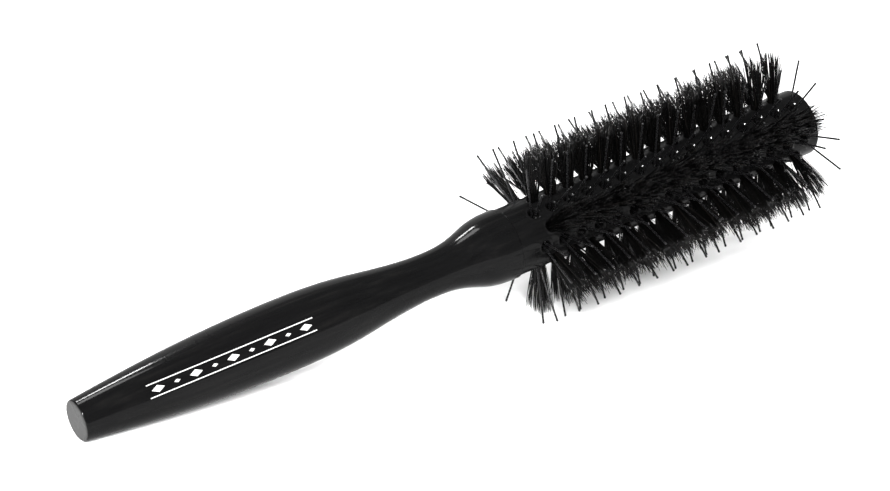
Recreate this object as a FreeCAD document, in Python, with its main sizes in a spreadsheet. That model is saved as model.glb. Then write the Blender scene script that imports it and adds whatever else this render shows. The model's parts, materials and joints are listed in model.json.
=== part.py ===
import FreeCAD, Part
import math
import os
import Sketcher

# Round barrel hair brush: a turned and lacquered wooden handle glued into a turned wooden barrel,
# with rows of boar bristle tufts and rows of nylon pins, each folded over a small flat anchor.
#
# Every piece is modelled about the brush's own axis, which is local +X from the handle's flat end.
# Its Placement then turns it to its row and tilts the brush into the pose in which it lies on a
# flat surface: the handle's end and the first pins touch z = 0, and the barrel is raised.

# alias, value (mm or degrees), what it is
DIMENSIONS = [
    ("brush_length", 244.4, "from the handle's flat end to the barrel's flat end"),
    ("seam_station", 137.8, "where the handle's shoulder meets the barrel"),
    ("end_edge_radius", 0.8, "rounding of the handle's flat end"),
    ("seam_edge_radius", 0.3, "rounding of both edges at the seam"),
    ("barrel_radius", 10.0, "radius of the barrel"),
    ("barrel_edge_radius", 0.9, "rounding of the barrel's flat end"),
    ("tenon_radius", 3.9, "radius of the handle's tenon"),
    ("tenon_length", 18.0, "length of the handle's tenon"),
    ("glue_gap", 0.05, "room for glue round the tenon and past its end"),
    ("row_step", 30.0, "angle between a bristle row and the next pin row"),
    ("rows_of_a_kind", 6, "number of bristle rows, and of pin rows"),
    ("pin_count", 16, "pin holes in a row"),
    ("tuft_count", 15, "bristle tufts in a row"),
    ("first_pin_station", 145.8, "station of the first pin hole"),
    ("hole_pitch", 6.19, "distance between holes along a row"),
    ("hole_radius", 1.5, "radius of each blind hole"),
    ("hole_depth", 5.2, "depth of each blind hole below the barrel's surface"),
    ("mouth_radius", 1.9, "radius of the flared mouth of a hole"),
    ("mouth_depth", 0.4, "depth of the flare"),
    ("anchor_width", 2.9, "width of an anchor plate, along the brush"),
    ("anchor_height", 1.5, "height of an anchor plate, along the hole"),
    ("anchor_thickness", 0.4, "thickness of an anchor plate"),
    ("anchor_gap", 0.02, "room between an anchor and what is folded over it"),
    ("fold_depth", 4.35, "depth of an anchor's lower edge below the barrel's surface"),
    ("pin_radius", 0.3, "radius of the nylon filament"),
    ("pin_reach", 26.6, "distance from the brush's axis to a pin's tip"),
    ("pin_splay", 13.0, "angle between a pin and the radius through its hole"),
    ("pin_bend_radius", 5.0, "radius of the bend where a filament leaves its anchor"),
    ("pin_bend_depth", 2.8, "depth at which that bend starts"),
    ("root_radius", 1.45, "radius of a tuft inside its hole"),
    ("tuft_reach", 24.6, "distance from the brush's axis to a tuft's tips"),
    ("tuft_half_length", 3.0, "half of a tuft's spread along the brush"),
    ("tuft_half_width", 4.6, "half of a tuft's spread round the brush"),
]

# The handle's outline is one smooth curve from the flat end to the shoulder. These are its control
# points: name, distance from the flat end, distance from the axis.
HANDLE_POLES = [
    ("butt", 0.0, 5.9),
    ("taper", 18.0, 8.0),
    ("belly_near", 40.0, 9.9),
    ("belly_far", 76.0, 10.6),
    ("fall", 93.0, 8.1),
    ("waist_near", 106.0, 6.4),
    ("waist_far", 118.5, 6.3),
    ("rise", 126.0, 8.7),
    ("shoulder", 131.0, 10.5),
    ("lip", 137.8, 10.4),
]

AXIS_X = FreeCAD.Vector(1, 0, 0)
AXIS_Y = FreeCAD.Vector(0, 1, 0)
AXIS_Z = FreeCAD.Vector(0, 0, 1)
ORIGIN = FreeCAD.Vector(0, 0, 0)

# Sketcher's numbers for the sketch's own axes and for the points of an element
HORIZONTAL_AXIS = -1
VERTICAL_AXIS = -2
START = 1
END = 2
CENTRE = 3
CUBIC = 3


def make_sheet(doc):
    """Put every driving dimension in a spreadsheet, one aliased cell each."""
    sheet = doc.addObject("Spreadsheet::Sheet", "Dimensions")
    rows = list(DIMENSIONS)
    for name, station, radius in HANDLE_POLES:
        rows.append((f"{name}_station", station, "control point of the handle's outline"))
        rows.append((f"{name}_radius", radius, "control point of the handle's outline"))
    for number, (alias, value, note) in enumerate(rows, start=1):
        sheet.set(f"A{number}", alias)
        sheet.set(f"B{number}", str(value))
        sheet.set(f"C{number}", note)
        sheet.setAlias(f"B{number}", alias)
    doc.recompute()
    return sheet


def cell(alias):
    return f"Dimensions.{alias}"


# ---- PartDesign helpers -------------------------------------------------------------------------


def new_body(doc, label):
    body = doc.addObject("PartDesign::Body", label)
    body.Label = label
    return body


def origin_part(body, role):
    for feature in body.Origin.OriginFeatures:
        if feature.Role == role:
            return feature
    raise ValueError(f"{body.Label} has no {role}")


def new_sketch(body, name, plane):
    sketch = body.newObject("Sketcher::SketchObject", f"{body.Label}_{name}")
    sketch.AttachmentSupport = [(origin_part(body, plane), "")]
    sketch.MapMode = "FlatFace"
    return sketch


def bind(sketch, constraint, name, expression):
    """Add a named dimension to a sketch and bind it to an expression of the spreadsheet."""
    index = sketch.addConstraint(constraint)
    sketch.renameConstraint(index, name)
    sketch.setExpression(f"Constraints.{name}", expression)


def place_point(sketch, element, point, name, x_expression, y_expression):
    """Dimension one point from the sketch's origin. None means that the point is on that axis."""
    if x_expression is None:
        sketch.addConstraint(Sketcher.Constraint("PointOnObject", element, point, VERTICAL_AXIS))
    else:
        across = Sketcher.Constraint("DistanceX", HORIZONTAL_AXIS, START, element, point, 1.0)
        bind(sketch, across, f"{name}_x", x_expression)
    if y_expression is None:
        sketch.addConstraint(Sketcher.Constraint("PointOnObject", element, point, HORIZONTAL_AXIS))
    else:
        up = Sketcher.Constraint("DistanceY", HORIZONTAL_AXIS, START, element, point, 1.0)
        bind(sketch, up, f"{name}_y", y_expression)


def add_polyline(sketch, corners, closed):
    """Draw joined lines and return the first one's number.

    corners: name, (x, y) to start from, x expression, y expression.
    """
    points = [FreeCAD.Vector(x, y, 0) for _, (x, y), _, _ in corners]
    ends = points[1:] + points[:1] if closed else points[1:]
    first = sketch.GeometryCount
    for start, end in zip(points, ends):
        sketch.addGeometry(Part.LineSegment(start, end), False)
    for line in range(first, first + len(ends) - 1):
        sketch.addConstraint(Sketcher.Constraint("Coincident", line, END, line + 1, START))
    if closed:
        last = first + len(ends) - 1
        sketch.addConstraint(Sketcher.Constraint("Coincident", last, END, first, START))
    for offset, (name, _, x_expression, y_expression) in enumerate(corners):
        on_last_end = offset == len(ends)
        line = first + offset - 1 if on_last_end else first + offset
        point = END if on_last_end else START
        place_point(sketch, line, point, name, x_expression, y_expression)
    return first


def add_circle(sketch, name, centre, x_expression, y_expression, radius_expression):
    circle = sketch.addGeometry(Part.Circle(centre, AXIS_Z, 1.0), False)
    place_point(sketch, circle, CENTRE, name, x_expression, y_expression)
    bind(sketch, Sketcher.Constraint("Radius", circle, 1.0), f"{name}_radius", radius_expression)


def revolve_about_axis(body, sketch):
    feature = body.newObject("PartDesign::Revolution", f"{body.Label}_turned")
    feature.Profile = sketch
    feature.ReferenceAxis = (origin_part(body, "X_Axis"), [""])
    feature.Angle = 360.0
    return feature


def round_rings(doc, body, base, name, rings, radius_expression):
    """Round the circular edges at the given (station, radius) about the brush's axis."""
    doc.recompute()
    tolerance = 1e-3
    names = []
    for number, edge in enumerate(base.Shape.Edges, start=1):
        if not isinstance(edge.Curve, Part.Circle):
            continue
        for station, radius in rings:
            same_place = abs(edge.Curve.Center.x - station) < tolerance
            if same_place and abs(edge.Curve.Radius - radius) < tolerance:
                names.append(f"Edge{number}")
    feature = body.newObject("PartDesign::Fillet", f"{body.Label}_{name}")
    feature.Base = (base, names)
    feature.setExpression("Radius", radius_expression)
    body.Tip = feature
    return feature


def pattern_along(body, name, count_alias):
    """A linear pattern along the brush at the hole pitch."""
    pattern = body.newObject("PartDesign::LinearPattern", f"{body.Label}_{name}")
    pattern.Direction = (origin_part(body, "X_Axis"), [""])
    pattern.Mode = "Spacing"
    pattern.setExpression("Offset", cell("hole_pitch"))
    pattern.setExpression("Occurrences", cell(count_alias))
    return pattern


def repeat_along_row(doc, body, count_alias):
    """Repeat the whole of a body along its row."""
    doc.recompute()
    pattern = pattern_along(body, "row", count_alias)
    pattern.TransformMode = "Whole shape"
    body.Tip = pattern


# ---- the turned wooden pieces -------------------------------------------------------------------


def make_handle(doc, dim):
    """Handle: one smooth outline, turned, with a tenon beyond the seam."""
    body = new_body(doc, "handle")
    sketch = new_sketch(body, "outline", "XZ_Plane")
    poles = [FreeCAD.Vector(station, radius, 0) for _, station, radius in HANDLE_POLES]
    curve = Part.BSplineCurve()
    curve.buildFromPoles(poles, False, CUBIC)
    outline = sketch.addGeometry(curve, False)
    sketch.exposeInternalGeometry(outline)
    for number, (name, _, _) in enumerate(HANDLE_POLES, start=1):
        station_cell = None if name == "butt" else cell(f"{name}_station")
        place_point(sketch, outline + number, CENTRE, name, station_cell, cell(f"{name}_radius"))

    seam = dim("seam_station")
    tenon_end = seam + dim("tenon_length")
    tenon_end_cell = f"{cell('seam_station')} + {cell('tenon_length')}"
    corners = [
        ("lip_corner", (seam, dim("lip_radius")), cell("seam_station"), cell("lip_radius")),
        ("tenon_foot", (seam, dim("tenon_radius")), cell("seam_station"), cell("tenon_radius")),
        ("tenon_rim", (tenon_end, dim("tenon_radius")), tenon_end_cell, cell("tenon_radius")),
        ("tenon_tip", (tenon_end, 0), tenon_end_cell, None),
        ("butt_centre", (0, 0), None, None),
        ("butt_corner", (0, dim("butt_radius")), None, cell("butt_radius")),
    ]
    add_polyline(sketch, corners, closed=False)
    turned = revolve_about_axis(body, sketch)
    butt = [(0, dim("butt_radius"))]
    rounded = round_rings(doc, body, turned, "butt_round", butt, cell("end_edge_radius"))
    lip = [(seam, dim("lip_radius"))]
    round_rings(doc, body, rounded, "lip_round", lip, cell("seam_edge_radius"))
    return body


def cut_holes(body, name, row_angle, station_expression, station, count_alias, dim):
    """Cut one kind of blind hole: one flared hole, repeated along the row and round the barrel."""
    sketch = new_sketch(body, f"{name}_hole", "XZ_Plane")
    sketch.AttachmentOffset = FreeCAD.Placement(ORIGIN, FreeCAD.Rotation(AXIS_X, row_angle))
    surface = cell("barrel_radius")
    bottom = dim("barrel_radius") - dim("hole_depth")
    bottom_cell = f"{surface} - {cell('hole_depth')}"
    throat = dim("barrel_radius") - dim("mouth_depth")
    throat_cell = f"{surface} - {cell('mouth_depth')}"
    wall = station + dim("hole_radius")
    wall_cell = f"{station_expression} + {cell('hole_radius')}"
    mouth = station + dim("mouth_radius")
    mouth_cell = f"{station_expression} + {cell('mouth_radius')}"
    above = dim("barrel_radius") + dim("mouth_depth")
    above_cell = f"{surface} + {cell('mouth_depth')}"
    corners = [
        ("bottom", (station, bottom), station_expression, bottom_cell),
        ("bottom_wall", (wall, bottom), wall_cell, bottom_cell),
        ("throat", (wall, throat), wall_cell, throat_cell),
        ("mouth", (mouth, dim("barrel_radius")), mouth_cell, surface),
        ("above_mouth", (mouth, above), mouth_cell, above_cell),
        ("above", (station, above), station_expression, above_cell),
    ]
    floor_line = add_polyline(sketch, corners, closed=True)
    last_line = floor_line + len(corners) - 1
    spindle = Part.LineSegment(FreeCAD.Vector(station, bottom, 0), FreeCAD.Vector(station, above, 0))
    axis = sketch.addGeometry(spindle, True)
    sketch.addConstraint(Sketcher.Constraint("Coincident", axis, START, floor_line, START))
    sketch.addConstraint(Sketcher.Constraint("Coincident", axis, END, last_line, START))

    hole = body.newObject("PartDesign::Groove", f"{body.Label}_{name}_groove")
    hole.Profile = sketch
    hole.ReferenceAxis = (sketch, ["Axis0"])
    hole.Angle = 360.0
    along = pattern_along(body, f"{name}_along", count_alias)
    around = body.newObject("PartDesign::PolarPattern", f"{body.Label}_{name}_around")
    around.Axis = (origin_part(body, "X_Axis"), [""])
    around.Angle = 360.0
    around.setExpression("Occurrences", cell("rows_of_a_kind"))
    every = body.newObject("PartDesign::MultiTransform", f"{body.Label}_{name}_holes")
    every.Originals = [hole]
    every.Transformations = [along, around]
    body.Tip = every


def make_barrel(doc, dim):
    """Barrel: a turned cylinder with a socket for the tenon and twelve rows of blind holes."""
    body = new_body(doc, "barrel")
    sketch = new_sketch(body, "outline", "XZ_Plane")
    seam = dim("seam_station")
    length = dim("brush_length")
    socket_end = seam + dim("tenon_length") + dim("glue_gap")
    socket_end_cell = f"{cell('seam_station')} + {cell('tenon_length')} + {cell('glue_gap')}"
    socket = dim("tenon_radius") + dim("glue_gap")
    socket_cell = f"{cell('tenon_radius')} + {cell('glue_gap')}"
    radius = dim("barrel_radius")
    corners = [
        ("socket_mouth", (seam, socket), cell("seam_station"), socket_cell),
        ("seam_edge", (seam, radius), cell("seam_station"), cell("barrel_radius")),
        ("far_edge", (length, radius), cell("brush_length"), cell("barrel_radius")),
        ("far_centre", (length, 0), cell("brush_length"), None),
        ("socket_centre", (socket_end, 0), socket_end_cell, None),
        ("socket_floor", (socket_end, socket), socket_end_cell, socket_cell),
    ]
    add_polyline(sketch, corners, closed=True)
    turned = revolve_about_axis(body, sketch)
    far = round_rings(doc, body, turned, "far_round", [(length, radius)], cell("barrel_edge_radius"))
    round_rings(doc, body, far, "seam_round", [(seam, radius)], cell("seam_edge_radius"))

    pin_cell = cell("first_pin_station")
    cut_holes(body, "pin", dim("row_step"), pin_cell, dim("first_pin_station"), "pin_count", dim)
    tuft_cell = first_tuft_expression()
    cut_holes(body, "tuft", 0.0, tuft_cell, first_tuft_station(dim), "tuft_count", dim)
    return body


# ---- the rows -----------------------------------------------------------------------------------


def first_tuft_station(dim):
    """The bristle rows are staggered by half a pitch from the pin rows."""
    return dim("first_pin_station") + dim("hole_pitch") / 2


def first_tuft_expression():
    return f"{cell('first_pin_station')} + {cell('hole_pitch')} / 2"


def fold_height(dim):
    """Height of an anchor's lower edge above the brush's axis."""
    return dim("barrel_radius") - dim("fold_depth")


def fold_expression():
    return f"{cell('barrel_radius')} - {cell('fold_depth')}"


def leg_offset(dim):
    """Distance from the middle of an anchor to the centre line of a folded filament."""
    return dim("anchor_thickness") / 2 + dim("anchor_gap") + dim("pin_radius")


def make_pin_row(doc, label, dim):
    """One row of nylon filaments, each folded in a narrow V over its anchor: two pins a hole."""
    body = new_body(doc, label)
    fold = fold_height(dim)
    offset = leg_offset(dim)
    offset_cell = f"{cell('anchor_thickness')} / 2 + {cell('anchor_gap')} + {cell('pin_radius')}"
    bend_start = dim("barrel_radius") - dim("pin_bend_depth")
    bend = dim("pin_bend_radius")
    splay = math.radians(dim("pin_splay"))

    spine = new_sketch(body, "spine", "YZ_Plane")
    spine.setExpression("AttachmentOffset.Base.z", cell("first_pin_station"))
    loop_circle = Part.Circle(FreeCAD.Vector(0, fold, 0), AXIS_Z, offset)
    loop = spine.addGeometry(Part.ArcOfCircle(loop_circle, -math.pi / 2, 0), False)
    leg_foot = FreeCAD.Vector(offset, fold, 0)
    leg_top = FreeCAD.Vector(offset, bend_start, 0)
    leg = spine.addGeometry(Part.LineSegment(leg_foot, leg_top), False)
    bend_circle = Part.Circle(FreeCAD.Vector(offset + bend, bend_start, 0), AXIS_Z, bend)
    turn = spine.addGeometry(Part.ArcOfCircle(bend_circle, math.pi - splay, math.pi), False)
    turn_end = FreeCAD.Vector(
        offset + bend * (1 - math.cos(splay)), bend_start + bend * math.sin(splay), 0
    )
    run = dim("pin_reach") - dim("barrel_radius")
    tip = turn_end + FreeCAD.Vector(run * math.sin(splay), run * math.cos(splay), 0)
    shaft = spine.addGeometry(Part.LineSegment(turn_end, tip), False)
    place_point(spine, loop, CENTRE, "fold", None, fold_expression())
    spine.addConstraint(Sketcher.Constraint("PointOnObject", loop, START, VERTICAL_AXIS))
    bind(spine, Sketcher.Constraint("Radius", loop, offset), "fold_radius", offset_cell)
    spine.addConstraint(Sketcher.Constraint("Tangent", loop, END, leg, START))
    spine.addConstraint(Sketcher.Constraint("Tangent", leg, END, turn, END))
    spine.addConstraint(Sketcher.Constraint("Tangent", turn, START, shaft, START))
    leg_end = Sketcher.Constraint("DistanceY", HORIZONTAL_AXIS, START, leg, END, bend_start)
    bind(spine, leg_end, "bend_start", f"{cell('barrel_radius')} - {cell('pin_bend_depth')}")
    bind(spine, Sketcher.Constraint("Radius", turn, bend), "bend_radius", cell("pin_bend_radius"))
    leaning = Sketcher.Constraint("Angle", shaft, START, VERTICAL_AXIS, START, splay)
    bind(spine, leaning, "splay", f"{cell('pin_splay')} * 1 deg")
    reach = Sketcher.Constraint("Distance", HORIZONTAL_AXIS, START, shaft, END, dim("pin_reach"))
    bind(spine, reach, "reach", cell("pin_reach"))

    section = new_sketch(body, "section", "XZ_Plane")
    centre = FreeCAD.Vector(dim("first_pin_station"), fold - offset, 0)
    low_cell = f"{fold_expression()} - ({offset_cell})"
    add_circle(section, "wire", centre, cell("first_pin_station"), low_cell, cell("pin_radius"))

    half = body.newObject("PartDesign::AdditivePipe", f"{label}_half")
    half.Profile = section
    half.Spine = (spine, [])
    whole = body.newObject("PartDesign::Mirrored", f"{label}_whole")
    whole.MirrorPlane = (origin_part(body, "XZ_Plane"), [""])
    whole.Originals = [half]
    body.Tip = whole
    repeat_along_row(doc, body, "pin_count")
    return body


def make_bristle_row(doc, label, dim):
    """One row of boar bristle tufts: a round root in the hole, then a fan that opens outward."""
    body = new_body(doc, label)
    station = first_tuft_station(dim)
    station_cell = first_tuft_expression()
    bottom_cell = f"{cell('barrel_radius')} - {cell('hole_depth')} + {cell('glue_gap')}"

    root_section = new_sketch(body, "root_section", "XY_Plane")
    root_section.setExpression("AttachmentOffset.Base.z", bottom_cell)
    centre = FreeCAD.Vector(station, 0, 0)
    add_circle(root_section, "root", centre, station_cell, None, cell("root_radius"))
    root = body.newObject("PartDesign::Pad", f"{label}_root")
    root.Profile = root_section
    root.setExpression("Length", f"{cell('hole_depth')} - {cell('glue_gap')}")

    # These two sections are turned so that their own x axis runs round the brush. Both outlines
    # then start at the same side, and the fan isn't twisted.
    turned = FreeCAD.Rotation(AXIS_Z, 90)
    middle = FreeCAD.Vector(0, -station, 0)
    middle_cell = f"-({station_cell})"
    mouth_section = new_sketch(body, "mouth_section", "XY_Plane")
    mouth_section.AttachmentOffset = FreeCAD.Placement(ORIGIN, turned)
    mouth_section.setExpression("AttachmentOffset.Base.z", cell("barrel_radius"))
    add_circle(mouth_section, "mouth", middle, None, middle_cell, cell("root_radius"))
    tip_section = new_sketch(body, "tip_section", "XY_Plane")
    tip_section.AttachmentOffset = FreeCAD.Placement(ORIGIN, turned)
    tip_section.setExpression("AttachmentOffset.Base.z", cell("tuft_reach"))
    side = middle + FreeCAD.Vector(dim("tuft_half_width"), 0, 0)
    back = middle + FreeCAD.Vector(0, dim("tuft_half_length"), 0)
    oval = tip_section.addGeometry(Part.Ellipse(side, back, middle), False)
    tip_section.exposeInternalGeometry(oval)
    place_point(tip_section, oval, CENTRE, "tips", None, middle_cell)
    long_axis = oval + 1
    short_axis = oval + 2
    tip_section.addConstraint(Sketcher.Constraint("Horizontal", long_axis))
    width = Sketcher.Constraint("Distance", long_axis, START, long_axis, END, 1.0)
    bind(tip_section, width, "spread_round", f"2 * {cell('tuft_half_width')}")
    length = Sketcher.Constraint("Distance", short_axis, START, short_axis, END, 1.0)
    bind(tip_section, length, "spread_along", f"2 * {cell('tuft_half_length')}")
    fan = body.newObject("PartDesign::AdditiveLoft", f"{label}_fan")
    fan.Profile = mouth_section
    fan.Sections = [tip_section]
    fan.Ruled = True

    slot_section = new_sketch(body, "slot_section", "YZ_Plane")
    slot_section.setExpression("AttachmentOffset.Base.z", station_cell)
    half_slot = f"({cell('anchor_thickness')} / 2 + {cell('anchor_gap')})"
    low_cell = f"{fold_expression()} - {cell('anchor_gap')}"
    high_cell = f"{fold_expression()} + {cell('anchor_height')} + {cell('anchor_gap')}"
    side = dim("anchor_thickness") / 2
    low = fold_height(dim)
    high = low + dim("anchor_height")
    corners = [
        ("low_left", (-side, low), f"-{half_slot}", low_cell),
        ("low_right", (side, low), half_slot, low_cell),
        ("high_right", (side, high), half_slot, high_cell),
        ("high_left", (-side, high), f"-{half_slot}", high_cell),
    ]
    add_polyline(slot_section, corners, closed=True)
    slot = body.newObject("PartDesign::Pocket", f"{label}_slot")
    slot.Profile = slot_section
    slot.Midplane = True
    slot.setExpression("Length", f"4 * {cell('root_radius')}")
    repeat_along_row(doc, body, "tuft_count")
    return body


def make_anchor_row(doc, label, station_expression, count_alias):
    """The flat anchors of one row, one in each hole, edge on to the brush's axis."""
    body = new_body(doc, label)
    plate = body.newObject("PartDesign::AdditiveBox", f"{label}_plate")
    plate.setExpression("Length", cell("anchor_width"))
    plate.setExpression("Width", cell("anchor_thickness"))
    plate.setExpression("Height", cell("anchor_height"))
    plate.AttachmentSupport = [(origin_part(body, "XY_Plane"), "")]
    plate.MapMode = "FlatFace"
    centred = f"{station_expression} - {cell('anchor_width')} / 2"
    plate.setExpression("AttachmentOffset.Base.x", centred)
    plate.setExpression("AttachmentOffset.Base.y", f"-{cell('anchor_thickness')} / 2")
    plate.setExpression("AttachmentOffset.Base.z", fold_expression())
    repeat_along_row(doc, body, count_alias)
    return body


# ---- the pose in which the brush lies -----------------------------------------------------------


def lying_placement(dim):
    """Tilt and lift of the brush: its handle's end and its lowest pins both touch z = 0.

    The lowest pins lean out of the two pin rows beside the lowest bristle row, towards it.
    """
    splay = math.radians(dim("pin_splay"))
    bend_top = dim("barrel_radius") - dim("pin_bend_depth") + dim("pin_bend_radius") * math.sin(splay)
    bend_side = leg_offset(dim) + dim("pin_bend_radius") * (1 - math.cos(splay))
    along = bend_side * math.sin(splay) + bend_top * math.cos(splay)
    shaft = math.sqrt(dim("pin_reach") ** 2 - bend_side**2 - bend_top**2 + along**2) - along
    tip_side = bend_side + shaft * math.sin(splay)
    tip_angle = math.radians(dim("row_step")) - math.asin(tip_side / dim("pin_reach"))
    blunt = dim("pin_radius") * math.sin(math.radians(dim("row_step")) - splay)
    drop = dim("pin_reach") * math.cos(tip_angle) + blunt

    edge = dim("end_edge_radius")
    tilt = math.atan((drop - dim("butt_radius")) / dim("first_pin_station"))
    ring = dim("butt_radius") - edge
    lift = ring * math.cos(tilt) + edge - edge * math.sin(tilt)
    back = edge * math.cos(tilt) - ring * math.sin(tilt) - edge
    far_edge = dim("barrel_edge_radius")
    far_ring = dim("barrel_radius") - far_edge
    far_station = dim("brush_length") - far_edge
    front = far_station * math.cos(tilt) + far_ring * math.sin(tilt) + far_edge
    raised = FreeCAD.Rotation(AXIS_Y, -math.degrees(tilt))
    return FreeCAD.Placement(FreeCAD.Vector(-(back + front) / 2, 0, lift), raised)


def row_turn(row, offset, dim):
    """Turn that carries a row from straight up to its place, counted from straight down."""
    angle = 180.0 + (2 * row + offset) * dim("row_step")
    return FreeCAD.Placement(ORIGIN, FreeCAD.Rotation(AXIS_X, angle))


def build(doc):
    sheet = make_sheet(doc)

    def dim(alias):
        return float(getattr(sheet, alias))

    lying = lying_placement(dim)
    handle = make_handle(doc, dim)
    barrel = make_barrel(doc, dim)
    handle.Placement = lying
    barrel.Placement = lying
    nodes = [handle, barrel]
    for row in range(int(dim("rows_of_a_kind"))):
        number = row + 1
        tufts = make_bristle_row(doc, f"bristle_row_{number}", dim)
        tuft_anchors = make_anchor_row(
            doc, f"bristle_anchors_{number}", first_tuft_expression(), "tuft_count"
        )
        pins = make_pin_row(doc, f"pin_row_{number}", dim)
        pin_anchors = make_anchor_row(
            doc, f"pin_anchors_{number}", cell("first_pin_station"), "pin_count"
        )
        tufts.Placement = lying * row_turn(row, 0, dim)
        tuft_anchors.Placement = tufts.Placement
        pins.Placement = lying * row_turn(row, 1, dim)
        pin_anchors.Placement = pins.Placement
        nodes += [tufts, tuft_anchors, pins, pin_anchors]
    doc.recompute()
    return nodes


def check(doc, nodes):
    """Stop on a failed object, an empty or broken shape, or a row with a piece missing."""
    for item in doc.Objects:
        if "Invalid" in item.State or "Error" in item.State:
            raise RuntimeError(f"{item.Label} failed: {item.State}")
    sheet = doc.getObject("Dimensions")
    row_counts = {"bristle": int(sheet.tuft_count), "pin": int(sheet.pin_count)}
    for node in nodes:
        if node.Shape.isNull() or not node.Shape.isValid():
            raise RuntimeError(f"{node.Label} has no valid shape")
        kind = node.Label.split("_")[0]
        wanted = row_counts.get(kind, 1)
        if len(node.Shape.Solids) != wanted:
            raise RuntimeError(f"{node.Label} has {len(node.Shape.Solids)} solids, not {wanted}")


def export(nodes):
    os.makedirs("parts", exist_ok=True)
    for node in nodes:
        node.Shape.exportStep(f"parts/{node.Label}.step")
        box = node.Shape.BoundBox
        print(f"{node.Label:20s} {len(node.Shape.Solids):3d} solids  {node.Shape.Volume:9.1f} mm3"
              f"  z {box.ZMin:7.2f} to {box.ZMax:7.2f}")


document = FreeCAD.newDocument("round_brush")
parts = build(document)
check(document, parts)
export(parts)
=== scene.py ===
import json
import math
import bpy
import numpy as np
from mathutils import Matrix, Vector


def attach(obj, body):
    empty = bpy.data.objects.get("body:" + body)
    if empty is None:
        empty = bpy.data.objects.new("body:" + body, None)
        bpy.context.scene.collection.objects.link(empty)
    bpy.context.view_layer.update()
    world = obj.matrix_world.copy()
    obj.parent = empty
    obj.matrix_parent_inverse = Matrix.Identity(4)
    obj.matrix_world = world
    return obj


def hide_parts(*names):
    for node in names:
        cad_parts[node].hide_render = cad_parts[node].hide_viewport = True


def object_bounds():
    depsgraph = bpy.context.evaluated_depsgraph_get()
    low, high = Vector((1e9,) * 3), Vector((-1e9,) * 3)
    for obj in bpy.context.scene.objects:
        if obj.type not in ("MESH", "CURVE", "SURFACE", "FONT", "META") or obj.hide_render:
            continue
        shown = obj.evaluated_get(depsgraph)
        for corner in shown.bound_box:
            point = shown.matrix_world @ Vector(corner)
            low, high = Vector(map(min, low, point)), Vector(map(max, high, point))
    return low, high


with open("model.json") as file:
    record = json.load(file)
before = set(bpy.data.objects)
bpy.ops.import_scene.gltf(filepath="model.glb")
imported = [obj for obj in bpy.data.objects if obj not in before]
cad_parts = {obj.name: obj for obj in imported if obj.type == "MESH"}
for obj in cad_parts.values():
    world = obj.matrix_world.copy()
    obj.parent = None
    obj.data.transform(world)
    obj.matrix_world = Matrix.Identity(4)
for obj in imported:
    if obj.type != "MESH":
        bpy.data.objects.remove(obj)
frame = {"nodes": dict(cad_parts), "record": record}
cad_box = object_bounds()

# Round barrel brush. Lengths named here are in millimetres, as in the CAD, and MM turns them into
# metres. Stations are distances along the brush's own axis from the handle's flat end.
MM = 0.001
SEED = 41

# The turned pieces
BUTT_EDGE = 0.8
SEAM_STATION = 137.8
SEAM_EDGE = 0.3
BARREL_RADIUS = 10.0
BARREL_EDGE = 0.9
TENON_RADIUS = 3.9
TENON_LENGTH = 18.0
SOCKET_GAP = 0.05
HANDLE_POLES = [  # control points of the handle's outline: station, radius
    (0.0, 5.9), (18.0, 8.0), (40.0, 9.9), (76.0, 10.6), (93.0, 8.1),
    (106.0, 6.4), (118.5, 6.3), (126.0, 8.7), (131.0, 10.5), (137.8, 10.4),
]

# The rows of holes
ROWS_OF_A_KIND = 6
ROW_STEP = 30.0
PIN_COUNT = 16
TUFT_COUNT = 15
FIRST_PIN = 145.8
PITCH = 6.19
HOLE_RADIUS = 1.5
HOLE_DEPTH = 5.2

# What is folded into them
PIN_RADIUS = 0.3
PIN_REACH = 26.6
PIN_SPLAY = 13.0
PIN_SPLAY_SPREAD = 1.6
PIN_LEAN_SPREAD = 2.6
PIN_SIDES = 10
TIP_SWELLING = 1.22  # the tips are melted to a small round knob
FOLD_HEIGHT = 5.65
FOLD_RADIUS = 0.52
BEND_START = 7.2
BEND_RADIUS = 5.0
TUFT_REACH = 24.6
TUFT_HAIRS = 92
TUFT_ROOT_DEPTH = 3.0
TUFT_ROOT_RADIUS = 1.35
TUFT_SPREAD_ALONG = 2.9
TUFT_SPREAD_ACROSS = 4.6
STRAY_SHARE = 0.09
HAIR_RADII = (0.10, 0.14)
HAIR_RINGS = 7
HAIR_SIDES = 4

# The printed ornament: stations where it starts and ends, and its place round the handle
PRINT_HEIGHT = 0.03
PRINT_START = 19.0
PRINT_END = 70.0
PRINT_ANGLE = 240.0
LINE_OFFSET = 1.8
LINE_HALF_WIDTH = 0.14
LOZENGES = 9
LOZENGE_HALF_LENGTHS = (1.9, 0.9)


# ---- the brush's own axes, read from the frame --------------------------------------------------


def mount_position(name):
    for mount in frame["record"]["mounts"]:
        if mount["name"] == name:
            return np.array(mount["pos_m"])
    raise ValueError(f"no mount {name}")


BUTT = mount_position("handle_end")
FAR_END = mount_position("barrel_end")
LENGTH = np.linalg.norm(FAR_END - BUTT) / MM
TOP = float(cad_box[1][2])
ALONG = (FAR_END - BUTT) / (LENGTH * MM)
SIDE = np.array([0.0, 1.0, 0.0])
UPWARD = np.cross(ALONG, SIDE)
TILT = math.atan2(ALONG[2], ALONG[0])


def row_axes(angle):
    """Tangent and radial directions at an angle in degrees, counted from straight down."""
    turn = math.radians(angle)
    radial = SIDE * math.sin(turn) - UPWARD * math.cos(turn)
    tangent = -SIDE * math.cos(turn) - UPWARD * math.sin(turn)
    return tangent, radial


def to_world(along, across, out, angle):
    """Points in metres from millimetres along the brush, across a row and out from the axis."""
    tangent, radial = row_axes(angle)
    along, across, out = np.broadcast_arrays(along, across, out)
    offset = along[..., None] * ALONG + across[..., None] * tangent + out[..., None] * radial
    return BUTT + MM * offset


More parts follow.
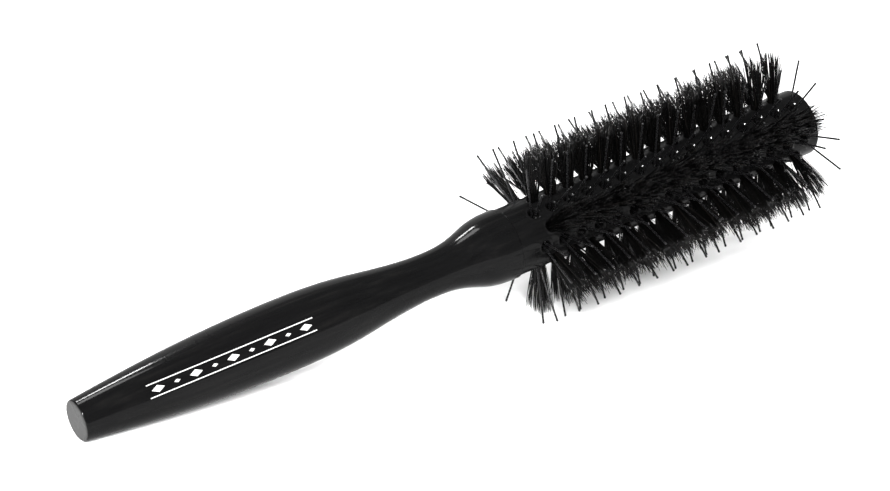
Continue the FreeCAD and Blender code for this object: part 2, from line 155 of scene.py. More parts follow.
def round_axis(along, radius, turn):
    """Points in metres at a station, a radius and an angle in radians from straight down."""
    along, radius, turn = np.broadcast_arrays(along, radius, turn)
    out = np.sin(turn)[..., None] * SIDE - np.cos(turn)[..., None] * UPWARD
    return BUTT + MM * (along[..., None] * ALONG + radius[..., None] * out)


# ---- mesh helpers -------------------------------------------------------------------------------


def make_piece(name, points, face_groups, material):
    """A mesh object from points and arrays of faces; each array holds faces of one size."""
    mesh = bpy.data.meshes.new(name)
    points = np.asarray(points, dtype=np.float32).reshape(-1, 3)
    corners = np.concatenate([faces.ravel() for faces in face_groups]).astype(np.int32)
    sizes = np.concatenate([np.full(len(faces), faces.shape[1]) for faces in face_groups])
    starts = np.concatenate([[0], np.cumsum(sizes)[:-1]]).astype(np.int32)
    mesh.vertices.add(len(points))
    mesh.vertices.foreach_set("co", points.ravel())
    mesh.loops.add(len(corners))
    mesh.loops.foreach_set("vertex_index", corners)
    mesh.polygons.add(len(sizes))
    mesh.polygons.foreach_set("loop_start", starts)
    mesh.update(calc_edges=True)
    mesh.validate()
    mesh.shade_smooth()
    mesh.materials.append(material)
    piece = bpy.data.objects.new(name, mesh)
    bpy.context.scene.collection.objects.link(piece)
    return piece


def ring_faces(first, rings, sides):
    """Quads between rings of points that follow each other."""
    ring = np.arange(rings - 1)[:, None] * sides + first
    side = np.arange(sides)[None, :]
    after = (side + 1) % sides
    quads = np.stack([ring + side, ring + after, ring + sides + after, ring + sides + side], axis=-1)
    return quads.reshape(-1, 4)


def lathe(name, profile, sides, material):
    """Turn a closed profile of (station, radius), whose first and last points are on the axis."""
    profile = np.asarray(profile)
    turns = np.linspace(0, 2 * math.pi, sides, endpoint=False)
    body = round_axis(profile[1:-1, 0][:, None], profile[1:-1, 1][:, None], turns[None, :])
    rings = len(profile) - 2
    first = round_axis(profile[0, 0], 0.0, 0.0)
    last = round_axis(profile[-1, 0], 0.0, 0.0)
    points = np.concatenate([body.reshape(-1, 3), first[None], last[None]])
    side = np.arange(sides)
    after = (side + 1) % sides
    centre = rings * sides
    first_cap = np.stack([after, side, np.full(sides, centre)], axis=-1)
    end_ring = (rings - 1) * sides
    last_cap = np.stack([end_ring + side, end_ring + after, np.full(sides, centre + 1)], axis=-1)
    quads = ring_faces(0, rings, sides)
    piece = make_piece(name, points, [quads, first_cap, last_cap], material)
    piece.data.set_sharp_from_angle(angle=math.radians(35))
    return piece


def tubes(name, centres, radii, sides, material):
    """Many closed round tubes in one mesh. centres: tube, ring, xyz; radii: tube, ring."""
    count, rings, _ = centres.shape
    heading = np.gradient(centres, axis=1)
    heading /= np.linalg.norm(heading, axis=2, keepdims=True)
    across = np.cross(heading, ALONG)
    across /= np.linalg.norm(across, axis=2, keepdims=True)
    other = np.cross(heading, across)
    turns = np.linspace(0, 2 * math.pi, sides, endpoint=False)
    circle = (
        across[:, :, None, :] * np.cos(turns)[None, None, :, None]
        + other[:, :, None, :] * np.sin(turns)[None, None, :, None]
    )
    points = centres[:, :, None, :] + circle * radii[:, :, None, None]
    one = ring_faces(0, rings, sides)
    firsts = np.arange(count)[:, None, None] * (rings * sides)
    quads = (one[None] + firsts).reshape(-1, 4)
    start_cap = np.arange(sides)[::-1][None] + firsts[:, :, 0]
    end_cap = np.arange(sides)[None] + (rings - 1) * sides + firsts[:, :, 0]
    return make_piece(name, points, [quads, start_cap, end_cap], material)


def spline_outline(poles, samples):
    """Points of the clamped cubic B-spline with these control points."""
    poles = np.asarray(poles, dtype=float)
    degree = 3
    spans = len(poles) - degree
    knots = np.concatenate([np.zeros(degree), np.arange(spans + 1), np.full(degree, spans)])
    result = []
    for value in np.linspace(0, spans, samples):
        span = min(int(value), spans - 1) + degree
        local = [poles[span - degree + k] for k in range(degree + 1)]
        for level in range(1, degree + 1):
            for k in range(degree, level - 1, -1):
                low = knots[span - degree + k]
                high = knots[span + 1 + k - level]
                share = (value - low) / (high - low)
                local[k] = (1 - share) * local[k - 1] + share * local[k]
        result.append(local[degree])
    return np.array(result)


def corner_arc(centre_station, centre_radius, radius, start, end, steps):
    """Points of a rounded corner. Angles in degrees, from the axis's direction towards outward."""
    turns = np.radians(np.linspace(start, end, steps))
    stations = centre_station + radius * np.cos(turns)
    outs = centre_radius + radius * np.sin(turns)
    return list(zip(stations, outs))


# ---- material helpers ---------------------------------------------------------------------------


class Nodes:
    """A short way to build one material's node tree."""

    def __init__(self, name):
        self.material = bpy.data.materials.new(name)
        self.material.use_nodes = True
        self.tree = self.material.node_tree
        self.shader = self.tree.nodes["Principled BSDF"]

    def add(self, kind, settings=(), inputs=()):
        node = self.tree.nodes.new(kind)
        for key, value in dict(settings).items():
            setattr(node, key, value)
        for key, value in dict(inputs).items():
            self.set(node, key, value)
        return node

    def set(self, node, key, value):
        """Give an input a value, or link it to another node's output."""
        if isinstance(value, bpy.types.NodeSocket):
            self.tree.links.new(value, node.inputs[key])
        else:
            node.inputs[key].default_value = value

    def brush_space(self, scale):
        """Coordinates turned to the brush's own axis and scaled along and across it."""
        place = self.add("ShaderNodeTexCoord")
        turned = self.add(
            "ShaderNodeMapping",
            {"vector_type": "TEXTURE"},
            {"Vector": place.outputs["Object"], "Rotation": (0, -TILT, 0)},
        )
        stretched = self.add(
            "ShaderNodeMapping", {}, {"Vector": turned.outputs["Vector"], "Scale": scale}
        )
        return stretched.outputs["Vector"]

    def station(self):
        """Distance in metres along the brush from the handle's flat end."""
        place = self.add("ShaderNodeTexCoord").outputs["Object"]
        from_end = self.add(
            "ShaderNodeVectorMath", {"operation": "SUBTRACT"}, {0: place, 1: tuple(BUTT)}
        ).outputs["Vector"]
        along = self.add(
            "ShaderNodeVectorMath", {"operation": "DOT_PRODUCT"}, {0: from_end, 1: tuple(ALONG)}
        )
        return along.outputs["Value"]

    def noise(self, vector, scale, detail=3.0, roughness=0.5):
        inputs = {"Vector": vector, "Scale": scale, "Detail": detail, "Roughness": roughness}
        return self.add("ShaderNodeTexNoise", {}, inputs).outputs["Fac"]

    def between(self, factor, low, high):
        """A number that goes from low to high as the factor goes from 0 to 1."""
        inputs = {"Value": factor, "To Min": low, "To Max": high}
        return self.add("ShaderNodeMapRange", {}, inputs).outputs["Result"]

    def colours(self, factor, stops):
        ramp = self.add("ShaderNodeValToRGB", {}, {"Fac": factor})
        elements = ramp.color_ramp.elements
        while len(elements) < len(stops):
            elements.new(0.5)
        for element, (position, colour) in zip(elements, stops):
            element.position = position
            element.color = (*colour, 1.0)
        return ramp.outputs["Color"]

    def bump(self, height, strength, distance, normal=None):
        inputs = {"Height": height, "Strength": strength, "Distance": distance}
        node = self.add("ShaderNodeBump", {}, inputs)
        if normal is not None:
            self.set(node, "Normal", normal)
        return node.outputs["Normal"]


def lacquer_material(name):
    """Black gloss lacquer on turned wood: faint grain and turning marks, orange peel and wear.

    The flat end gets a grey base colour: a painted reflection standing in for the light that its
    black lacquer mirrors.
    """
    build = Nodes(name)
    grain = build.noise(build.brush_space((30.0, 620.0, 620.0)), 1.0, 4.0, 0.6)
    rings = build.noise(build.brush_space((1500.0, 40.0, 40.0)), 1.0, 3.0, 0.6)
    plain = build.brush_space((1.0, 1.0, 1.0))
    cloudy = build.noise(plain, 90.0, 2.0)
    peel = build.noise(plain, 520.0, 2.0)
    speck = build.noise(plain, 2600.0, 2.0, 0.7)
    lacquered = build.colours(
        grain,
        [
            (0.30, (0.0018, 0.0018, 0.0019)),
            (0.55, (0.0028, 0.0028, 0.0029)),
            (0.8, (0.0055, 0.0053, 0.0051)),
        ],
    )
    # Painted reflection: the flat end's grey base colour stands in for light that its black lacquer
    # mirrors
    end_painted_reflection = build.colours(speck, [(0.3, (0.042, 0.042, 0.042)), (0.7, (0.058, 0.058, 0.057))])
    station = build.station()
    end = build.add(
        "ShaderNodeMapRange",
        {"interpolation_type": "SMOOTHSTEP"},
        {"Value": station, "From Min": 0.00005, "From Max": 0.0004, "To Min": 1.0, "To Max": 0.0},
    ).outputs["Result"]
    mixed = build.add("ShaderNodeMix", {"data_type": "RGBA"}, {0: end, 6: lacquered, 7: end_painted_reflection})
    under = build.bump(grain, 0.25, 0.00006)
    turned = build.bump(rings, 0.10, 0.00004, under)
    skin = build.bump(peel, 0.05, 0.0002, turned)
    coat_skin = build.bump(rings, 0.07, 0.00004, build.bump(peel, 0.05, 0.0002))
    build.set(build.shader, "Base Color", mixed.outputs[2])
    build.set(build.shader, "Roughness", build.between(cloudy, 0.20, 0.34))
    build.set(build.shader, "Specular IOR Level", 0.01)
    build.set(build.shader, "Normal", skin)
    build.set(build.shader, "Coat Weight", build.between(end, 0.13, 0.12))
    build.set(build.shader, "Coat Roughness", build.between(speck, 0.05, 0.11))
    build.set(build.shader, "Coat IOR", 1.5)
    build.set(build.shader, "Coat Normal", coat_skin)
    return build.material


def bristle_material():
    """Boar hair: near black, each hair its own shade, with a sharp natural shine."""
    build = Nodes("boar_bristle")
    hair = build.add("ShaderNodeNewGeometry").outputs["Random Per Island"]
    shade = build.colours(
        hair,
        [
            (0.0, (0.0006, 0.0006, 0.0006)),
            (0.8, (0.0016, 0.0015, 0.0015)),
            (1.0, (0.006, 0.0052, 0.0046)),
        ],
    )
    fine = build.noise(build.brush_space((1.0, 1.0, 1.0)), 1800.0, 2.0)
    build.set(build.shader, "Base Color", shade)
    build.set(build.shader, "Roughness", build.between(fine, 0.16, 0.30))
    build.set(build.shader, "Specular IOR Level", 0.14)
    build.set(build.shader, "Normal", build.bump(fine, 0.25, 0.00004))
    return build.material


def pin_material():
    """Black nylon filament: a satin skin with drawing lines and a faint variation in tone."""
    build = Nodes("nylon_pin")
    pin = build.add("ShaderNodeNewGeometry").outputs["Random Per Island"]
    tone = build.colours(pin, [(0.0, (0.0025, 0.0025, 0.0027)), (1.0, (0.006, 0.006, 0.0063))])
    fine = build.noise(build.brush_space((1.0, 1.0, 1.0)), 1500.0, 3.0)
    build.set(build.shader, "Base Color", tone)
    build.set(build.shader, "Roughness", build.between(fine, 0.20, 0.34))
    build.set(build.shader, "Specular IOR Level", 0.25)
    build.set(build.shader, "Normal", build.bump(fine, 0.15, 0.00005))
    return build.material


def steel_material():
    """Flattened steel wire of the anchors."""
    build = Nodes("anchor_steel")
    drawn = build.noise(build.brush_space((200.0, 2500.0, 2500.0)), 1.0, 3.0)
    tint = build.colours(drawn, [(0.2, (0.42, 0.43, 0.44)), (0.8, (0.62, 0.62, 0.61))])
    build.set(build.shader, "Base Color", tint)
    build.set(build.shader, "Metallic", 1.0)
    build.set(build.shader, "Roughness", build.between(drawn, 0.28, 0.45))
    build.set(build.shader, "Normal", build.bump(drawn, 0.2, 0.00003))
    return build.material


def print_material():
    """White pad-printing ink: slightly uneven cover and a satin skin."""
    build = Nodes("white_print")
    plain = build.brush_space((1.0, 1.0, 1.0))
    cover = build.noise(plain, 1400.0, 3.0)
    tint = build.colours(cover, [(0.3, (0.42, 0.42, 0.41)), (0.7, (0.54, 0.54, 0.53))])
    build.set(build.shader, "Base Color", tint)
    build.set(build.shader, "Roughness", build.between(cover, 0.3, 0.45))
    build.set(build.shader, "Normal", build.bump(cover, 0.1, 0.00002))
    return build.material


def floor_material():
    """Plain pale table top."""
    build = Nodes("pale_floor")
    place = build.add("ShaderNodeTexCoord").outputs["Object"]
    tooth = build.noise(place, 300.0, 2.0)
    tint = build.colours(tooth, [(0.3, (0.89, 0.89, 0.89)), (0.7, (0.91, 0.91, 0.91))])
    build.set(build.shader, "Base Color", tint)
    build.set(build.shader, "Roughness", 0.7)
    build.set(build.shader, "Specular IOR Level", 0.2)
    return build.material


# ---- the handle ---------------------------------------------------------------------------------


def handle_radius_at(stations):
    outline = spline_outline(HANDLE_POLES, 600)
    return np.interp(stations, outline[:, 0], outline[:, 1])


def make_handle(material):
    """The turned handle: flat end, rounded edge, smooth outline, lip at the seam, tenon."""
    outline = spline_outline(HANDLE_POLES, 260)
    outline = outline[(outline[:, 0] > BUTT_EDGE) & (outline[:, 0] < SEAM_STATION - SEAM_EDGE)]
    edge_ring = float(handle_radius_at(BUTT_EDGE)) - BUTT_EDGE
    lip = float(handle_radius_at(SEAM_STATION)) - SEAM_EDGE
    profile = [(0.0, edge_ring * share) for share in (0.0, 0.2, 0.4, 0.6, 0.8, 0.93)]
    profile += corner_arc(BUTT_EDGE, edge_ring, BUTT_EDGE, 180, 90, 9)
    profile += [tuple(point) for point in outline]
    profile += corner_arc(SEAM_STATION - SEAM_EDGE, lip, SEAM_EDGE, 90, 0, 6)
    tenon_end = SEAM_STATION + TENON_LENGTH
    profile += [(SEAM_STATION, 0.5 * (lip + TENON_RADIUS)), (SEAM_STATION, TENON_RADIUS)]
    profile += [(tenon_end, TENON_RADIUS), (tenon_end, 0.0)]
    return lathe("turned_handle", profile, 192, material)


# ---- the barrel ---------------------------------------------------------------------------------

CELLS = 10  # grid steps across one hole's cell, both along the barrel and round it
ROUND_STEPS = int(360 / ROW_STEP) * CELLS
STEP_ALONG = PITCH / CELLS
STEP_ROUND = 2 * math.pi / ROUND_STEPS
FIRST_LINE = -12  # the grid's first and last lines round the barrel, counted from the first pin
LAST_LINE = 157
# Rings of a hole from its raised lacquer rim inward: radius, height above the barrel's surface
RIM_RINGS = [
    (2.34, 0.0), (2.18, 0.07), (2.06, 0.10), (1.98, 0.08), (1.93, 0.04), (1.80, -0.09),
    (1.67, -0.22), (1.56, -0.33), (HOLE_RADIUS, -0.47), (HOLE_RADIUS, -2.4),
    (HOLE_RADIUS, -HOLE_DEPTH),
]
WALL_START = -0.3  # the rings above this follow the barrel's round, and those below it are flat


class Skin:
    """The points, quads and triangles of one mesh, gathered piece by piece."""

    def __init__(self):
        self.points = []
        self.quads = []
        self.triangles = []
        self.total = 0

    def add(self, points):
        """Keep points, and give the index of the first of them."""
        points = points.reshape(-1, 3)
        first = self.total
        self.points.append(points)
        self.total += len(points)
        return first

    def add_quads(self, *corners):
        self.quads.append(np.stack(corners, axis=-1))

    def add_triangles(self, *corners):
        self.triangles.append(np.stack(corners, axis=-1))


def hole_places():
    """Grid place of each hole's middle: steps along from the first pin, steps round from below."""
    places = []
    for row in range(ROWS_OF_A_KIND):
        for number in range(TUFT_COUNT):
            places.append((CELLS * number + CELLS // 2, 2 * CELLS * row))
        for number in range(PIN_COUNT):
            places.append((CELLS * number, 2 * CELLS * row + CELLS))
    return places


def cell_border():
    """Steps from a cell's middle to each point of its border, in order round it."""
    half = CELLS // 2
    steps = range(-half, half)
    border = [(half, step) for step in steps]
    border += [(-step, half) for step in steps]
    border += [(-half, -step) for step in steps]
    border += [(step, -half) for step in steps]
    return np.array(border)


def hole_rings(station, turn, border):
    """Rings of points from a cell's border in to the floor of its hole."""
    scaled = border / (CELLS // 2)
    angles = np.arctan2(scaled[:, 1], scaled[:, 0])
    border_along = border[:, 0] * STEP_ALONG
    border_across = border[:, 1] * STEP_ROUND * BARREL_RADIUS
    rim_radius = RIM_RINGS[0][0]
    middle_along = 0.5 * (border_along + rim_radius * np.cos(angles))
    middle_across = 0.5 * (border_across + rim_radius * np.sin(angles))
    rings = [(middle_along, middle_across, 0.0)]
    for radius, height in RIM_RINGS:
        rings.append((radius * np.cos(angles), radius * np.sin(angles), height))
    result = []
    for along, across, height in rings:
        out = BARREL_RADIUS + height
        if height > WALL_START:
            result.append(round_axis(station + along, out, turn + across / BARREL_RADIUS))
        else:
            result.append(to_world(station + along, -across, out, math.degrees(turn)))
    return np.array(result)


def add_hole(skin, along, around):
    """One rimmed blind hole, joined to the grid's points on its cell's border."""
    border = cell_border()
    station = FIRST_PIN + along * STEP_ALONG
    turn = around * STEP_ROUND
    rings = hole_rings(station, turn, border)
    first = skin.add(rings)
    middle = skin.add(round_axis(station, BARREL_RADIUS - HOLE_DEPTH, turn))
    outer = (along + border[:, 0] - FIRST_LINE) * ROUND_STEPS + (around + border[:, 1]) % ROUND_STEPS
    count = len(border)
    side = np.arange(count)
    after = (side + 1) % count
    skin.add_quads(first + side, first + after, outer[after], outer)
    skin.quads.append(ring_faces(first, len(rings), count)[:, ::-1])
    floor_ring = middle - count
    skin.add_triangles(np.full(count, middle), floor_ring + after, floor_ring + side)


def close_end(skin, rings, edge, turns, faces_handle):
    """Rings from the grid's edge line in to the barrel's axis, at the end that faces the handle
    or at the far end."""
    side = np.arange(ROUND_STEPS)
    after = (side + 1) % ROUND_STEPS
    for station, radius in rings:
        ring = skin.add(round_axis(station, radius, turns))
        band = [edge + side, ring + side, ring + after, edge + after]
        skin.add_quads(*(band if faces_handle else band[::-1]))
        edge = ring
    middle = skin.add(round_axis(rings[-1][0], 0.0, 0.0))
    cap = [edge + side, np.full(ROUND_STEPS, middle), edge + after]
    skin.add_triangles(*(cap if faces_handle else cap[::-1]))


def make_barrel(material):
    """The barrel's skin is a grid round the cylinder whose cells hold the rimmed blind holes."""
    skin = Skin()
    stations = FIRST_PIN + STEP_ALONG * np.arange(FIRST_LINE, LAST_LINE + 1)
    turns = STEP_ROUND * np.arange(ROUND_STEPS)
    skin.add(round_axis(stations[:, None], BARREL_RADIUS, turns[None, :]))

    open_cells = np.ones((len(stations) - 1, ROUND_STEPS), dtype=bool)
    half = CELLS // 2
    for along, around in hole_places():
        low = along - half - FIRST_LINE
        sides = (around - half + np.arange(CELLS)) % ROUND_STEPS
        open_cells[low : low + CELLS, sides] = False
        add_hole(skin, along, around)

    column, around = np.nonzero(open_cells)
    here = column * ROUND_STEPS + around
    beside = column * ROUND_STEPS + (around + 1) % ROUND_STEPS
    skin.add_quads(beside, beside + ROUND_STEPS, here + ROUND_STEPS, here)

    seam_side = corner_arc(SEAM_STATION + SEAM_EDGE, BARREL_RADIUS - SEAM_EDGE, SEAM_EDGE, 90, 180, 6)
    socket = TENON_RADIUS + SOCKET_GAP
    seam_side += [(SEAM_STATION, 0.5 * (BARREL_RADIUS + socket)), (SEAM_STATION, socket)]
    seam_side += [(SEAM_STATION + TENON_LENGTH + SOCKET_GAP, socket)]
    close_end(skin, seam_side, 0, turns, True)

    far_ring = BARREL_RADIUS - BARREL_EDGE
    far_side = corner_arc(LENGTH - BARREL_EDGE, far_ring, BARREL_EDGE, 90, 0, 10)
    far_side += [(LENGTH, far_ring * share) for share in (0.93, 0.8, 0.6, 0.4, 0.2)]
    close_end(skin, far_side, (len(stations) - 1) * ROUND_STEPS, turns, False)

    faces = [np.concatenate(skin.quads), np.concatenate(skin.triangles)]
    piece = make_piece("turned_barrel", np.concatenate(skin.points), faces, material)
    piece.data.set_sharp_from_angle(angle=math.radians(50))
    return piece


# ---- the nylon pins -----------------------------------------------------------------------------


def pin_leg(random, outward):
    """One leg of a filament, from its fold to its tip, as along, across and out.

    outward is the leg's lean along the brush in degrees, and is negative towards the handle.
    """
    splay = math.radians(PIN_SPLAY + random.normal(0, PIN_SPLAY_SPREAD))
    lean = math.radians(outward + random.normal(0, PIN_LEAN_SPREAD))
    bow = random.normal(0, 0.4)
    rise = np.linspace(FOLD_HEIGHT, BEND_START, 3)[:-1]
    leg = [(0.0, FOLD_RADIUS, out) for out in rise]
    for turn in np.linspace(0, splay, 4):
        across = FOLD_RADIUS + BEND_RADIUS * (1 - math.cos(turn))
        leg.append((0.0, across, BEND_START + BEND_RADIUS * math.sin(turn)))
    base = np.array(leg[-1])
    reach = PIN_REACH - abs(random.normal(0, 0.15))
    heading = np.array([math.sin(lean), math.sin(splay), math.cos(splay)])
    heading /= np.linalg.norm(heading)
    inward = base[1] * heading[1] + base[2] * heading[2]
    flat = heading[1] ** 2 + heading[2] ** 2
    gap = reach**2 - base[1] ** 2 - base[2] ** 2
    length = (-inward + math.sqrt(inward**2 + flat * gap)) / flat
    for share in np.linspace(0, 1, 9)[1:]:
        sag = bow * share * (1 - share)
        leg.append(tuple(base + heading * length * share + np.array([sag, sag, 0.0])))
    return np.array(leg)


def rounded_ends(centres, radius):
    """Give a line two domed, slightly swollen ends, and give the radius of each of its rings."""
    radii = np.full(len(centres), radius)
    knob = TIP_SWELLING * radius
    for end in (0, -1):
        heading = centres[end] - centres[1 if end == 0 else -2]
        heading /= np.linalg.norm(heading)
        rings = []
        widths = []
        for turn in np.radians([-50, -20, 10, 40, 65, 85]):
            rings.append(centres[end] + heading * knob * (math.sin(turn) - 1))
            widths.append(max(knob * math.cos(turn), radius * (turn < 0)))
        pulled = centres[end] - heading * knob * 3.2
        if end == 0:
            centres = np.concatenate([rings[::-1], [pulled], centres[1:]])
            radii = np.concatenate([widths[::-1], [radius], radii[1:]])
        else:
            centres = np.concatenate([centres[:-1], [pulled], rings])
            radii = np.concatenate([radii[:-1], [radius], widths])
    return centres, radii


def keep_inside(centres, radius):
    """Bend a hair or pin that would pass through the floor or out of the top of the CAD's box."""
    share = np.linspace(0, 1, centres.shape[-2]) ** 2
    lowest = centres[..., 2].min(axis=-1)
    highest = centres[..., 2].max(axis=-1)
    rise = np.clip(radius - lowest, 0, None) - np.clip(highest + radius - TOP, 0, None)
    return centres + (rise[..., None] * share)[..., None] * np.array([0, 0, 1.0])


def make_pin_row(row, material):
    random = np.random.default_rng(SEED + 100 + row)
    angle = (2 * row + 1) * ROW_STEP
    lines = []
    widths = []
    for number in range(PIN_COUNT):
        station = FIRST_PIN + PITCH * number
        legs = []
        # The pins at the two ends of a row lean away from it, most of all next to the handle
        outward = -11.0 * math.exp(-number / 1.1) + 2.0 * math.exp((number - PIN_COUNT) / 1.5)
        for mirror in (-1, 1):
            leg = pin_leg(random, outward)
            leg[:, 1] *= mirror
            points = to_world(station + leg[:, 0], leg[:, 1], leg[:, 2], angle)
            legs.append(keep_inside(points, TIP_SWELLING * PIN_RADIUS * MM))
        turns = np.radians(np.linspace(180, 360, 7))[1:-1]
        loop = to_world(
            station, FOLD_RADIUS * np.cos(turns), FOLD_HEIGHT + FOLD_RADIUS * np.sin(turns), angle
        )
        line = np.concatenate([legs[0][::-1], loop, legs[1]])
        line, width = rounded_ends(line, PIN_RADIUS * MM)
        lines.append(line)
        widths.append(width)
    return tubes(f"nylon_pins_{row + 1}", np.array(lines), np.array(widths), PIN_SIDES, material)


# ---- the boar bristle tufts ---------------------------------------------------------------------


def make_tuft(random, station, angle):
    """One tuft: hairs that leave the hole as a round bundle and open into an uneven fan."""
    count = TUFT_HAIRS
    spread = np.sqrt(random.uniform(0, 1, count))
    around = random.uniform(0, 2 * math.pi, count)
    root_along = TUFT_ROOT_RADIUS * spread * np.cos(around)
    root_across = TUFT_ROOT_RADIUS * spread * np.sin(around)
    width = random.uniform(0.88, 1.15)
    tip_along = TUFT_SPREAD_ALONG * width * spread * np.cos(around) + random.normal(0, 0.5, count)
    tip_across = TUFT_SPREAD_ACROSS * width * spread * np.sin(around) + random.normal(0, 0.7, count)
    lean_along = random.normal(0, 0.6)
    lean_across = random.normal(0, 0.5)
    reach = TUFT_REACH + random.normal(0.45, 0.4, count) - 0.3 * spread**2
    strays = random.uniform(0, 1, count) < STRAY_SHARE
    reach = reach + strays * random.uniform(-2.5, 0.9, count)
    tip_along = tip_along + strays * random.normal(0, 1.6, count)
    tip_across = tip_across + strays * random.normal(0, 1.5, count)
    share = np.linspace(0, 1, HAIR_RINGS)[None, :]
    root_out = BARREL_RADIUS - TUFT_ROOT_DEPTH
    out = root_out + (reach[:, None] - root_out) * share
    opening = np.clip((out - BARREL_RADIUS + 0.6) / (reach[:, None] - BARREL_RADIUS + 0.6), 0, 1)
    curve = opening ** random.uniform(0.62, 1.0, count)[:, None]
    along = root_along[:, None] + (tip_along + lean_along - root_along)[:, None] * curve
    across = root_across[:, None] + (tip_across + lean_across - root_across)[:, None] * curve
    wave = random.normal(0, 0.13, (2, count, 1)) * np.sin(math.pi * share * opening)
    centres = to_world(station + along + wave[0], across + wave[1], out, angle)
    thickness = random.uniform(*HAIR_RADII, count) * MM
    taper = np.interp(share[0], [0, 0.6, 0.95, 1.0], [1.0, 0.95, 0.8, 0.45])
    return keep_inside(centres, thickness), thickness[:, None] * taper[None, :]


def make_bristle_row(row, material):
    random = np.random.default_rng(SEED + 200 + row)
    angle = 2 * row * ROW_STEP
    lines = []
    widths = []
    for number in range(TUFT_COUNT):
        station = FIRST_PIN + PITCH * (number + 0.5)
        line, width = make_tuft(random, station, angle)
        lines.append(line)
        widths.append(width)
    centres = np.concatenate(lines)
    return tubes(f"boar_bristles_{row + 1}", centres, np.concatenate(widths), HAIR_SIDES, material)


# ---- the printed ornament -----------------------------------------------------------------------


def surface_patch(stations, halves, middle, angle, columns):
    """Points and faces of a thin raised patch on the handle.

    stations run along the brush, halves are the patch's half widths there, and middle is how far
    the patch's centre line lies round the handle from the angle.
    """
    count = len(stations)
    shares = np.linspace(-1, 1, columns)
    offsets = middle + halves[:, None] * shares[None, :]
    radius = handle_radius_at(stations)[:, None]
    turn = math.radians(angle) + offsets / radius
    points = []
    for lift in (PRINT_HEIGHT, -PRINT_HEIGHT):
        points.append(round_axis(stations[:, None], radius + lift, turn).reshape(-1, 3))
    rim = [step * columns for step in range(count)]
    rim += [(count - 1) * columns + side for side in range(1, columns)]
    rim += [step * columns + columns - 1 for step in range(count - 2, -1, -1)]
    rim += list(range(columns - 2, 0, -1))
    rim = np.array(rim)
    step = np.arange(count - 1)[:, None] * columns
    side = np.arange(columns - 1)[None, :]
    here = (step + side).ravel()
    top = np.stack([here, here + 1, here + columns + 1, here + columns], axis=-1)
    under = count * columns
    base = top[:, ::-1] + under
    following = np.roll(rim, -1)
    wall = np.stack([rim, following, following + under, rim + under], axis=-1)
    return np.concatenate(points), np.concatenate([top, base, wall])


def make_ornament(material):
    """A plain printed ornament: two fine lines with a row of lozenges between them."""
    patches = []
    stations = np.linspace(PRINT_START, PRINT_END, 60)
    for middle in (-LINE_OFFSET, LINE_OFFSET):
        patches.append((stations, np.full(len(stations), LINE_HALF_WIDTH), middle))
    for number in range(LOZENGES):
        centre = PRINT_START + (PRINT_END - PRINT_START) * (number + 0.5) / LOZENGES
        half = LOZENGE_HALF_LENGTHS[number % 2]
        steps = np.linspace(-half, half, 17)
        patches.append((centre + steps, 0.5 * (half - np.abs(steps)) + 0.015, 0.0))
    points = []
    quads = []
    total = 0
    for stations, halves, middle in patches:
        patch, faces = surface_patch(stations, halves, middle, PRINT_ANGLE, 7)
        points.append(patch)
        quads.append(faces + total)
        total += len(patch)
    piece = make_piece("printed_ornament", np.concatenate(points), [np.concatenate(quads)], material)
    piece.data.set_sharp_from_angle(angle=math.radians(40))
    return piece


# ---- the brush ----------------------------------------------------------------------------------


def build_brush():
    handle_finish = lacquer_material("handle_lacquer")
    barrel_finish = lacquer_material("barrel_lacquer")
    hair = bristle_material()
    nylon = pin_material()
    steel = steel_material()
    handle = make_handle(handle_finish)
    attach(handle, "root")
    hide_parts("handle")
    barrel = make_barrel(barrel_finish)
    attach(barrel, "root")
    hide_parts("barrel")
    ornament = make_ornament(print_material())
    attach(ornament, "root")
    for row in range(ROWS_OF_A_KIND):
        tufts = make_bristle_row(row, hair)
        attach(tufts, "root")
        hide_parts(f"bristle_row_{row + 1}")
        pins = make_pin_row(row, nylon)
        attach(pins, "root")
        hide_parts(f"pin_row_{row + 1}")
        for kind in ("bristle", "pin"):
            anchors = frame["nodes"][f"{kind}_anchors_{row + 1}"]
            for place in anchors.material_slots:
                place.material = steel


# ---- the studio ---------------------------------------------------------------------------------


def make_floor():
    size = 4.0
    corners = np.array([(-size, -size, 0), (size, -size, 0), (size, size, 0), (-size, size, 0)])
    floor = make_piece("floor", corners, [np.array([[0, 1, 2, 3]])], floor_material())


def aim(thing, target):
    direction = target - np.array(thing.location)
    flat = math.hypot(direction[0], direction[1])
    heading = math.atan2(-direction[0], direction[1])
    thing.rotation_euler = (math.atan2(flat, -direction[2]), 0.0, heading)


def area_light(name, location, target, width, height, power):
    light = bpy.data.lights.new(name, "AREA")
    light.shape = "RECTANGLE"
    light.size = width
    light.size_y = height
    light.energy = power
    lamp = bpy.data.objects.new(name, light)
    bpy.context.scene.collection.objects.link(lamp)
    lamp.location = location
    aim(lamp, np.array(target))
    return lamp


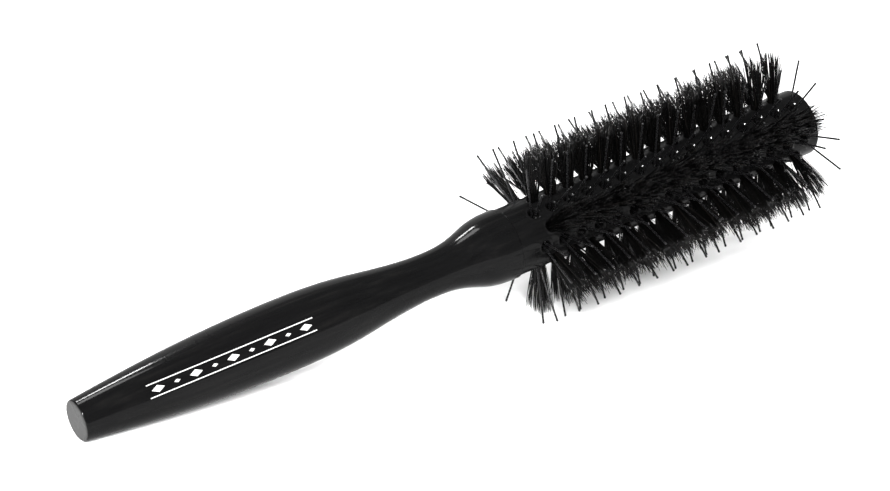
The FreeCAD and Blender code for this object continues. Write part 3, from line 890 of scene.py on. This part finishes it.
def make_lights():
    """Lights for the table from above and in front, and lights for the lacquer's highlights.

    The overhead and front lights are hidden from glossy rays, so the lacquer doesn't mirror them.
    The front light is above and behind the camera, so the brush hides most of its own shadow. The
    back wall gives a broad reflection, and the sparkle is for the holes' rims and the hairs. Both
    are hidden from diffuse rays, so they leave no shadow.
    """
    middle = (-0.02, 0.0, 0.03)
    overhead = area_light("overhead", (0.2, -1.0, 2.1), (0.1, -0.3, 0.0), 4.6, 4.6, 45.0)
    front = area_light("front", (-0.9, -1.37, 1.2), middle, 0.9, 0.9, 114.0)
    overhead.visible_glossy = False
    front.visible_glossy = False
    wall = area_light("back_wall", (0.4, 1.7, 0.65), (0.0, 0.0, 0.5), 5.0, 1.3, 24.0)
    area_light("softbox", (-0.10, 0.34, 0.75), middle, 0.16, 0.16, 1.8)
    area_light("key", (-0.01, 0.53, 0.60), middle, 0.07, 0.07, 2.4)
    sparkle = area_light("sparkle", (-0.66, -0.42, 0.56), (0.07, 0.0, 0.03), 0.10, 0.10, 34.0)
    wall.visible_diffuse = False
    sparkle.visible_diffuse = False
    world = bpy.data.worlds.new("studio")
    world.use_nodes = True
    world.node_tree.nodes["Background"].inputs["Color"].default_value = (1, 1, 1, 1)
    world.node_tree.nodes["Background"].inputs["Strength"].default_value = 0.5
    bpy.context.scene.world = world


def make_camera():
    """The camera looks down at the brush from the handle's side."""
    azimuth = math.radians(33.261)
    elevation = math.radians(24.049)
    distance = 0.92352
    target = np.array([-0.00411, 0.00090, 0.02764])
    back = np.array([
        -math.sin(azimuth) * math.cos(elevation),
        -math.cos(azimuth) * math.cos(elevation),
        math.sin(elevation),
    ])
    data = bpy.data.cameras.new("camera")
    data.sensor_width = 36.0
    data.lens = 133.5
    camera = bpy.data.objects.new("camera", data)
    bpy.context.scene.collection.objects.link(camera)
    camera.location = target + back * distance
    aim(camera, target)
    bpy.context.scene.camera = camera


build_brush()
make_floor()
make_lights()
make_camera()
bpy.context.scene.view_settings.view_transform = "Standard"
